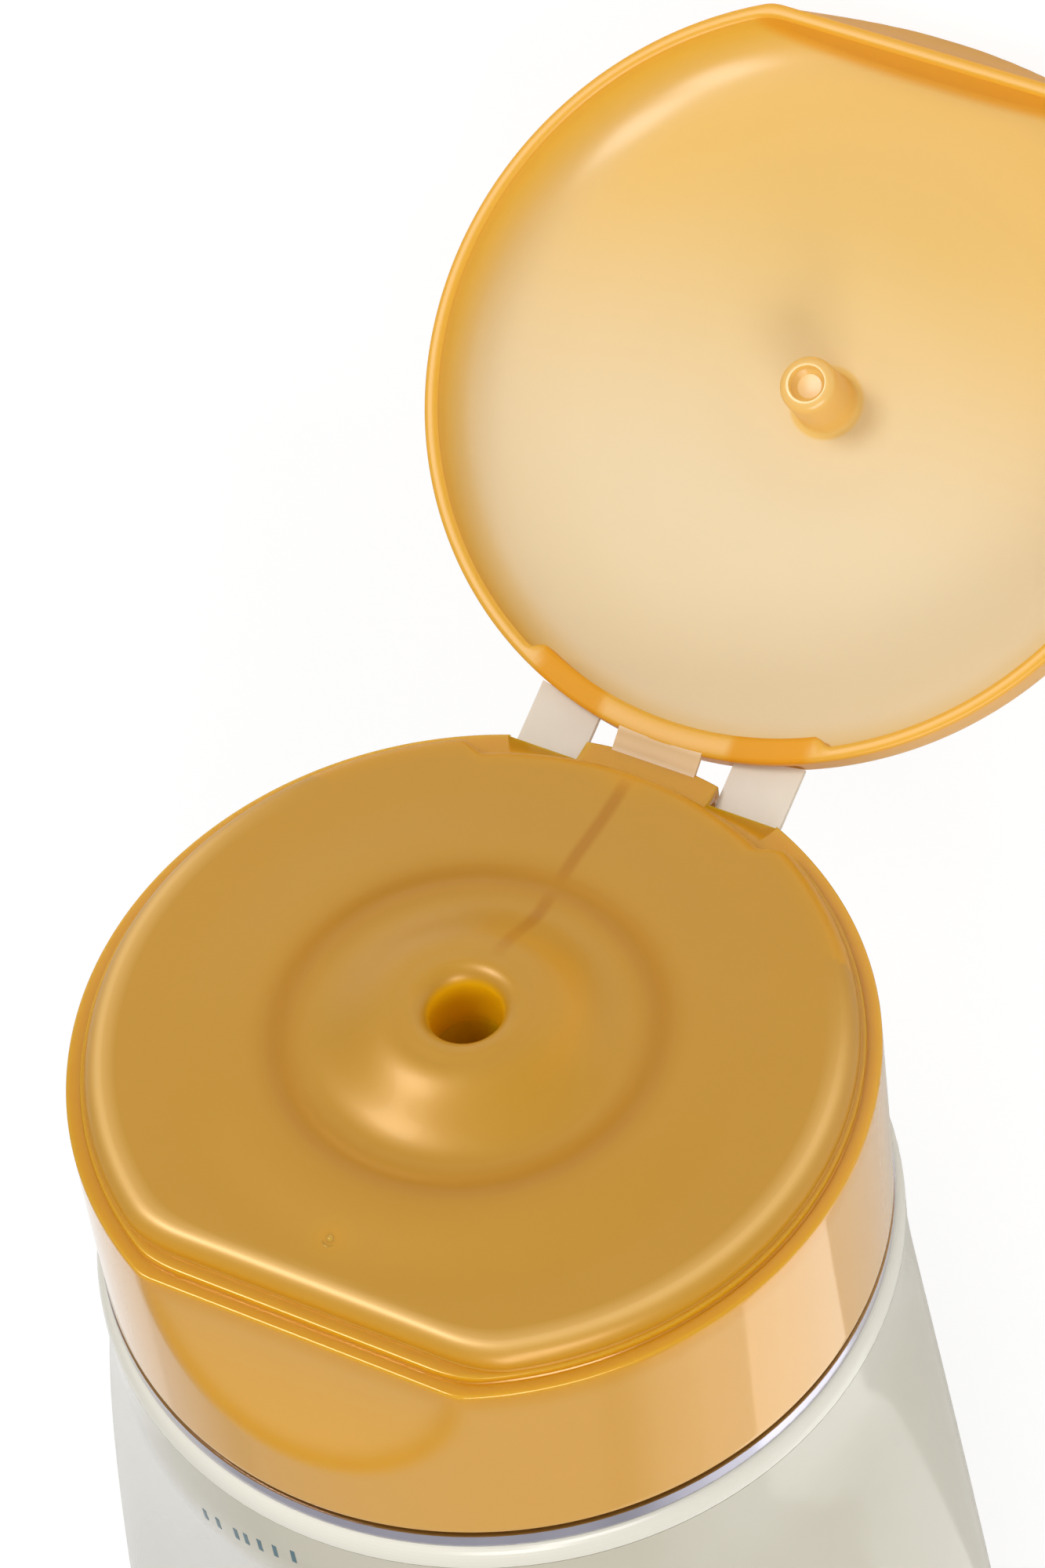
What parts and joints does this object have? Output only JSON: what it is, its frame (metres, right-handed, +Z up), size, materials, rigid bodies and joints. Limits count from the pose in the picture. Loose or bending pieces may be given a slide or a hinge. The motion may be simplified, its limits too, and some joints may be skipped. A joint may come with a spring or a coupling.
{
  "type": "lubricant tube",
  "caption": "Squeeze tube with a flip-top closure, lid open: round ribless skirt with thumb recess, ringed deck and spout, domed lid with sealing pin, snap-hinge straps, flattened crimped end",
  "frame": {"origin": "Middle of the bounding box's underside: the tube lies on its crimp and on the open lid's front edge", "axes": "+Z up; the closure points towards -Y and the crimp towards +Y; the fold line runs along X, and the hinge side faces down"},
  "size_m": [0.0804, 0.1874, 0.0785],
  "materials": {
    "sleeve": "smooth glossy off-white film",
    "tube_head": "smooth moulded off-white plastic",
    "gel_fill": "clear gel, out of sight",
    "foil_band": "bright silver foil",
    "closure_base": "pearlescent amber moulding, satin on the deck and glossy on the skirt",
    "hinge_strap_left": "pale stretched plastic",
    "hinge_strap_right": "pale stretched plastic",
    "lid": "thin pearlescent amber moulding that lets light through"
  },
  "bodies": {
    "tube": {"sleeve": "sleeve", "tube_head": "tube_head", "gel_fill": "gel_fill", "foil_band": "foil_band", "closure_base": "closure_base", "hinge_strap_left": "hinge_strap_left", "hinge_strap_right": "hinge_strap_right"},
    "lid": {"lid": "lid"}
  },
  "joints": [
    {"name": "lid_hinge", "type": "hinge", "parent": "tube", "child": "lid", "pos_m": [0, -0.05617, 0.03423], "axis": [1, 0, 0], "range_deg": [-151, 24], "deforming": ["hinge_strap_left", "hinge_strap_right"]}
  ]
}
